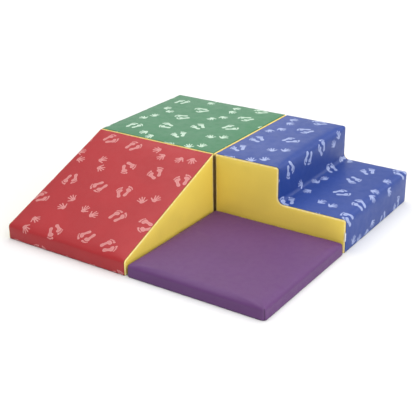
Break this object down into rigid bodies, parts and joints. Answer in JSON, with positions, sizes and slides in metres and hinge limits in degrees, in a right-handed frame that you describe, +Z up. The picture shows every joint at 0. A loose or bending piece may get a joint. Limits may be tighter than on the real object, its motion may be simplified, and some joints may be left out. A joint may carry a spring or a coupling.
{
  "type": "soft play climber",
  "caption": "Low square foam play climber: a ramp, a platform block, a two-step stair block and a floor mat in sewn vinyl covers, held together by hook-and-loop strips.",
  "frame": {"origin": "on the floor in the middle of the footprint, 2 mm from the point where the four modules meet", "axes": "+X to the right along the front edge, towards the foot of the stairs; +Y to the back, away from the foot of the ramp; +Z up"},
  "size_m": [1.229, 1.224, 0.304],
  "materials": {
    "red_vinyl": "coated vinyl cloth, soft satin, printed with a paler tint",
    "green_vinyl": "coated vinyl cloth, soft satin, printed with a paler tint",
    "blue_vinyl": "coated vinyl cloth, soft satin, printed with a paler tint",
    "yellow_vinyl": "coated vinyl cloth, soft satin, plain",
    "purple_vinyl": "coated vinyl cloth, soft satin, plain",
    "base_vinyl": "non-slip backing cloth, matte",
    "foam": "open-cell foam block, matte",
    "hook_cloth": "woven tape with fine hooks",
    "loop_cloth": "brushed loop tape",
    "zip_cloth": "woven zip tape with nylon coils",
    "zip_metal": "enamelled, semi-gloss",
    "tab_cloth": "blank woven satin tape, matte"
  },
  "bodies": {
    "platform": {"platform_foam_core": "foam", "platform_top_panel": "green_vinyl", "platform_front_panel": "yellow_vinyl", "platform_right_panel": "yellow_vinyl", "platform_back_panel": "yellow_vinyl", "platform_left_panel": "yellow_vinyl", "platform_base_panel": "base_vinyl", "platform_zip_upper_tape": "zip_cloth", "platform_zip_lower_tape": "zip_cloth", "platform_front_loop_strip_left": "loop_cloth", "platform_front_loop_strip_right": "loop_cloth", "platform_right_loop_strip_near": "loop_cloth", "platform_right_loop_strip_far": "loop_cloth"},
    "ramp": {"ramp_foam_core": "foam", "ramp_slope_panel": "red_vinyl", "ramp_left_side_panel": "yellow_vinyl", "ramp_right_side_panel": "yellow_vinyl", "ramp_back_panel": "yellow_vinyl", "ramp_base_panel": "base_vinyl", "ramp_zip_upper_tape": "zip_cloth", "ramp_zip_lower_tape": "zip_cloth", "ramp_back_hook_strip_left": "hook_cloth", "ramp_back_hook_strip_right": "hook_cloth", "ramp_mat_hook_strip": "hook_cloth"},
    "stairs": {"stairs_lower_foam_core": "foam", "stairs_upper_foam_core": "foam", "stairs_step_panel": "blue_vinyl", "stairs_near_side_panel": "yellow_vinyl", "stairs_far_side_panel": "yellow_vinyl", "stairs_back_panel": "yellow_vinyl", "stairs_base_panel": "base_vinyl", "stairs_zip_upper_tape": "zip_cloth", "stairs_zip_lower_tape": "zip_cloth", "stairs_back_hook_strip_near": "hook_cloth", "stairs_back_hook_strip_far": "hook_cloth", "stairs_seam_tab": "tab_cloth"},
    "mat": {"mat_foam_core": "foam", "mat_top_cover": "purple_vinyl", "mat_base_panel": "base_vinyl", "mat_zip_upper_tape": "zip_cloth", "mat_zip_lower_tape": "zip_cloth", "mat_loop_strip": "loop_cloth"},
    "platform_zip_slider": {"platform_zip_slider": "zip_metal"},
    "ramp_zip_slider": {"ramp_zip_slider": "zip_metal"},
    "stairs_zip_slider": {"stairs_zip_slider": "zip_metal"},
    "mat_zip_slider": {"mat_zip_slider": "zip_metal"}
  },
  "joints": [
    {"name": "ramp_slide", "type": "slide", "parent": "platform", "child": "ramp", "axis": [0, -1, 0], "range_m": [0, 0.3]},
    {"name": "stairs_slide", "type": "slide", "parent": "platform", "child": "stairs", "axis": [1, 0, 0], "range_m": [0, 0.3]},
    {"name": "mat_slide", "type": "slide", "parent": "platform", "child": "mat", "axis": [0.7071, -0.7071, 0], "range_m": [0, 0.3]},
    {"name": "platform_zip_slide", "type": "slide", "parent": "platform", "child": "platform_zip_slider", "axis": [1, 0, 0], "range_m": [0, 0.458]},
    {"name": "ramp_zip_slide", "type": "slide", "parent": "ramp", "child": "ramp_zip_slider", "axis": [1, 0, 0], "range_m": [0, 0.458]},
    {"name": "stairs_zip_slide", "type": "slide", "parent": "stairs", "child": "stairs_zip_slider", "axis": [0, 1, 0], "range_m": [0, 0.458]},
    {"name": "mat_zip_slide", "type": "slide", "parent": "mat", "child": "mat_zip_slider", "axis": [1, 0, 0], "range_m": [0, 0.458]}
  ]
}
